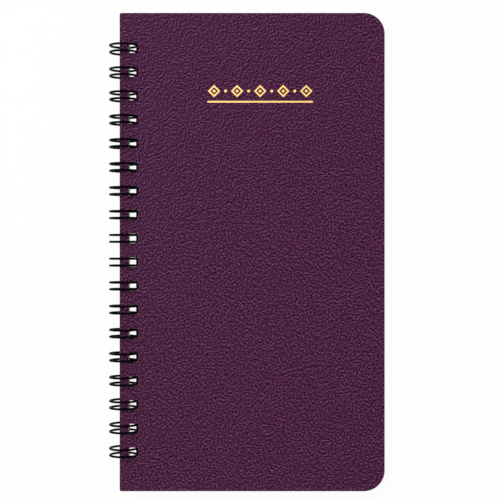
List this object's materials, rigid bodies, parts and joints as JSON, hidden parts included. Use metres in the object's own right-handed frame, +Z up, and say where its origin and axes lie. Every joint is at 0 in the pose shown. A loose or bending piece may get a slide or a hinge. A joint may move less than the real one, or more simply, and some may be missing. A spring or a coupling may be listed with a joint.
{
  "type": "address book",
  "caption": "Pocket address book with a grained flexible cover, stepped index tabs and a twin-loop wire binding, so that its cover and leaves turn over flat.",
  "frame": {"origin": "middle of the book's footprint, on the table under the loops and the fore edge of the back cover", "axes": "+X from the spine to the fore edge, +Y up the spine to the head, +Z up through the front cover"},
  "size_m": [0.0984, 0.1702, 0.0104],
  "materials": {
    "cover_leatherette": "pebble grain, satin",
    "lining_paper": "matt",
    "stiffener_board": "matt",
    "binding_wire": "black, semi-gloss",
    "gilt_foil": "hot foil",
    "index_paper": "matt card",
    "address_paper": "matt, ruled"
  },
  "bodies": {
    "back": {"back_cover": "cover_leatherette", "back_cover_board": "stiffener_board", "back_cover_lining": "lining_paper"},
    "front": {"front_cover": "cover_leatherette", "front_cover_lining": "lining_paper", "gilt_rule": "gilt_foil", "gilt_ornament": "gilt_foil"},
    "wire": {"twin_loop_wire": "binding_wire"},
    "section_ab": {"index_leaf_ab": "index_paper", "address_leaf_ab_1": "address_paper", "address_leaf_ab_2": "address_paper"},
    "section_cd": {"index_leaf_cd": "index_paper", "address_leaf_cd_1": "address_paper", "address_leaf_cd_2": "address_paper"},
    "section_ef": {"index_leaf_ef": "index_paper", "address_leaf_ef_1": "address_paper", "address_leaf_ef_2": "address_paper"},
    "section_gh": {"index_leaf_gh": "index_paper", "address_leaf_gh_1": "address_paper", "address_leaf_gh_2": "address_paper"},
    "section_ij": {"index_leaf_ij": "index_paper", "address_leaf_ij_1": "address_paper", "address_leaf_ij_2": "address_paper"},
    "section_kl": {"index_leaf_kl": "index_paper", "address_leaf_kl_1": "address_paper", "address_leaf_kl_2": "address_paper"},
    "section_mn": {"index_leaf_mn": "index_paper", "address_leaf_mn_1": "address_paper", "address_leaf_mn_2": "address_paper"},
    "section_op": {"index_leaf_op": "index_paper", "address_leaf_op_1": "address_paper", "address_leaf_op_2": "address_paper"},
    "section_qr": {"index_leaf_qr": "index_paper", "address_leaf_qr_1": "address_paper", "address_leaf_qr_2": "address_paper"},
    "section_st": {"index_leaf_st": "index_paper", "address_leaf_st_1": "address_paper", "address_leaf_st_2": "address_paper"},
    "section_uv": {"index_leaf_uv": "index_paper", "address_leaf_uv_1": "address_paper", "address_leaf_uv_2": "address_paper"},
    "section_wxyz": {"index_leaf_wxyz": "index_paper", "address_leaf_wxyz_1": "address_paper", "address_leaf_wxyz_2": "address_paper"}
  },
  "joints": [
    {"name": "front_cover_hinge", "type": "hinge", "parent": "back", "child": "front", "pos_m": [-0.04525, 0, 0.0049], "axis": [0, -1, 0], "range_deg": [0, 182.97]},
    {"name": "wire_shift", "type": "slide", "parent": "back", "child": "wire", "axis": [-0.9997, 0, 0.0259], "range_m": [0, 0.00134]},
    {"name": "section_ab_hinge", "type": "hinge", "parent": "back", "child": "section_ab", "pos_m": [-0.04525, 0, 0.0049], "axis": [0, -1, 0], "range_deg": [0, 182.97]},
    {"name": "section_cd_hinge", "type": "hinge", "parent": "back", "child": "section_cd", "pos_m": [-0.04525, 0, 0.0049], "axis": [0, -1, 0], "range_deg": [0, 182.97]},
    {"name": "section_ef_hinge", "type": "hinge", "parent": "back", "child": "section_ef", "pos_m": [-0.04525, 0, 0.0049], "axis": [0, -1, 0], "range_deg": [0, 182.97]},
    {"name": "section_gh_hinge", "type": "hinge", "parent": "back", "child": "section_gh", "pos_m": [-0.04525, 0, 0.0049], "axis": [0, -1, 0], "range_deg": [0, 182.97]},
    {"name": "section_ij_hinge", "type": "hinge", "parent": "back", "child": "section_ij", "pos_m": [-0.04525, 0, 0.0049], "axis": [0, -1, 0], "range_deg": [0, 182.97]},
    {"name": "section_kl_hinge", "type": "hinge", "parent": "back", "child": "section_kl", "pos_m": [-0.04525, 0, 0.0049], "axis": [0, -1, 0], "range_deg": [0, 182.97]},
    {"name": "section_mn_hinge", "type": "hinge", "parent": "back", "child": "section_mn", "pos_m": [-0.04525, 0, 0.0049], "axis": [0, -1, 0], "range_deg": [0, 182.97]},
    {"name": "section_op_hinge", "type": "hinge", "parent": "back", "child": "section_op", "pos_m": [-0.04525, 0, 0.0049], "axis": [0, -1, 0], "range_deg": [0, 182.97]},
    {"name": "section_qr_hinge", "type": "hinge", "parent": "back", "child": "section_qr", "pos_m": [-0.04525, 0, 0.0049], "axis": [0, -1, 0], "range_deg": [0, 182.97]},
    {"name": "section_st_hinge", "type": "hinge", "parent": "back", "child": "section_st", "pos_m": [-0.04525, 0, 0.0049], "axis": [0, -1, 0], "range_deg": [0, 182.97]},
    {"name": "section_uv_hinge", "type": "hinge", "parent": "back", "child": "section_uv", "pos_m": [-0.04525, 0, 0.0049], "axis": [0, -1, 0], "range_deg": [0, 182.97]},
    {"name": "section_wxyz_hinge", "type": "hinge", "parent": "back", "child": "section_wxyz", "pos_m": [-0.04525, 0, 0.0049], "axis": [0, -1, 0], "range_deg": [0, 182.97]}
  ],
  "couplings": [
    {"joint": "wire_shift", "follows": "front_cover_hinge", "m_per_rad": 0.00041805},
    {"joint": "section_ab_hinge", "follows": "front_cover_hinge", "ratio": 0.995},
    {"joint": "section_cd_hinge", "follows": "front_cover_hinge", "ratio": 0.99},
    {"joint": "section_ef_hinge", "follows": "front_cover_hinge", "ratio": 0.985},
    {"joint": "section_gh_hinge", "follows": "front_cover_hinge", "ratio": 0.98},
    {"joint": "section_ij_hinge", "follows": "front_cover_hinge", "ratio": 0.975},
    {"joint": "section_kl_hinge", "follows": "front_cover_hinge", "ratio": 0.97},
    {"joint": "section_mn_hinge", "follows": "front_cover_hinge", "ratio": 0.03},
    {"joint": "section_op_hinge", "follows": "front_cover_hinge", "ratio": 0.025},
    {"joint": "section_qr_hinge", "follows": "front_cover_hinge", "ratio": 0.02},
    {"joint": "section_st_hinge", "follows": "front_cover_hinge", "ratio": 0.015},
    {"joint": "section_uv_hinge", "follows": "front_cover_hinge", "ratio": 0.01},
    {"joint": "section_wxyz_hinge", "follows": "front_cover_hinge", "ratio": 0.005}
  ]
}
